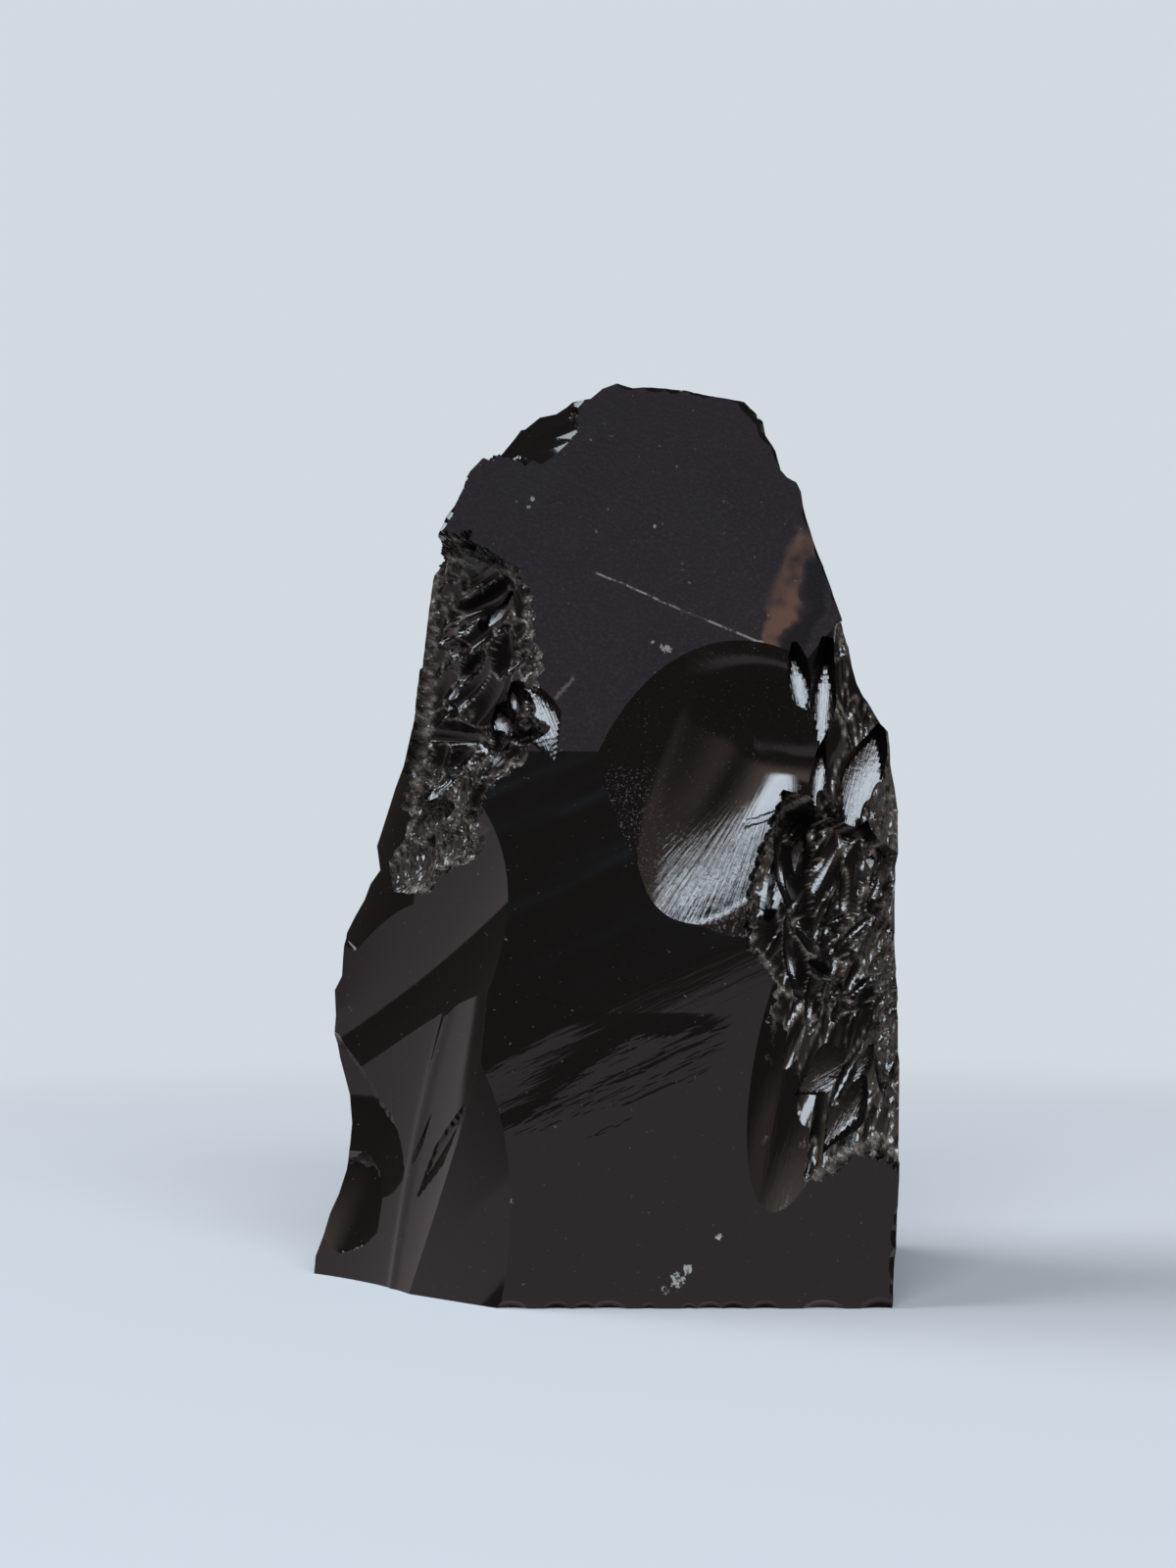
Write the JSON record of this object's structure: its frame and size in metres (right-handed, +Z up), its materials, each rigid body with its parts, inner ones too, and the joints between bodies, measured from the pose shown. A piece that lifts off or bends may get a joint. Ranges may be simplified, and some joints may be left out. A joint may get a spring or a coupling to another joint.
{
  "type": "obsidian chunk",
  "caption": "Free-standing lump of black obsidian with glassy flake scars, crushed glittering edges and a flat sawn base, used as a display stone.",
  "frame": {"origin": "middle of the bounding box's underside, on the flat base", "axes": "+X to the right seen from the front, +Y away from the front face, +Z up"},
  "size_m": [0.0658, 0.046, 0.1004],
  "materials": {
    "obsidian": "fresh broken volcanic glass: mirror-like flake scars, a satin upper face and glittering crushed edges"
  },
  "bodies": {
    "root": {"obsidian_chunk": "obsidian"}
  },
  "joints": []
}
